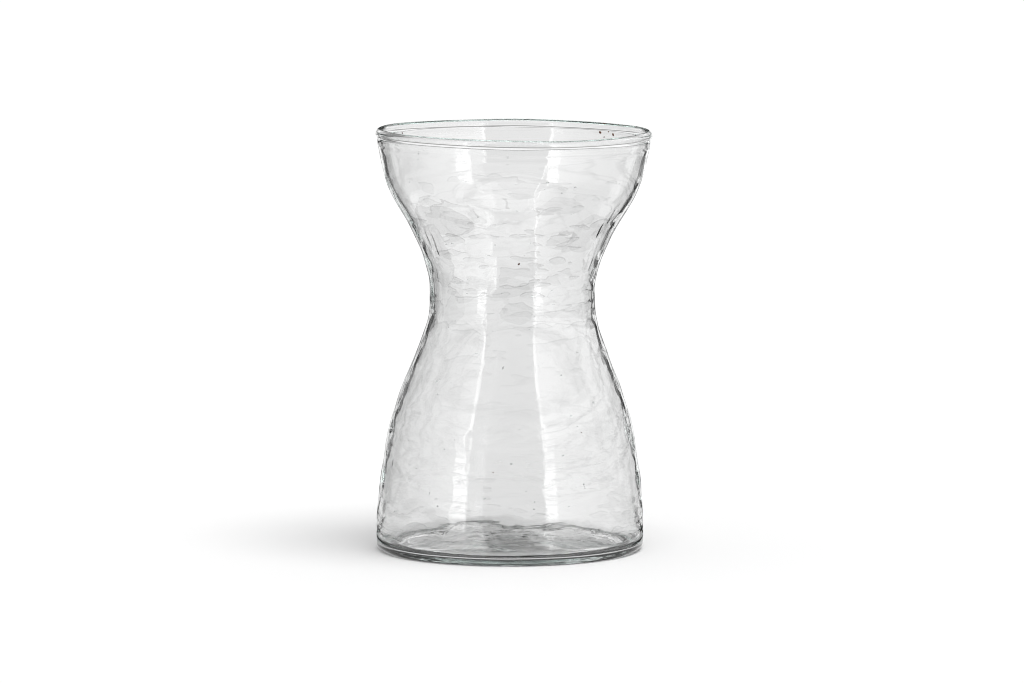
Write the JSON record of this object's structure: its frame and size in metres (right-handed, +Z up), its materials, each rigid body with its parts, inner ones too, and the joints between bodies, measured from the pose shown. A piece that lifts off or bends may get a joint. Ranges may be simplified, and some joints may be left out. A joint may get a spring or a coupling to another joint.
{
  "type": "hyacinth forcing vase",
  "caption": "Hyacinth forcing vase in clear hammered glass: open bulb cup over a narrow waist and a flared water chamber, with a beaded rim and a pushed-up base.",
  "frame": {"origin": "middle of the foot, on the surface that the vase stands on", "axes": "+Z up the axis of the vase, from the base to the rim; the form is turned, so +X and +Y are alike"},
  "size_m": [0.0986, 0.0986, 0.15],
  "materials": {
    "clear_glass": "clear blown soda-lime glass, hammered, fire-polished rim"
  },
  "bodies": {
    "root": {"base": "clear_glass", "water_chamber": "clear_glass", "waist": "clear_glass", "bulb_cup": "clear_glass", "rim_bead": "clear_glass"}
  },
  "joints": []
}
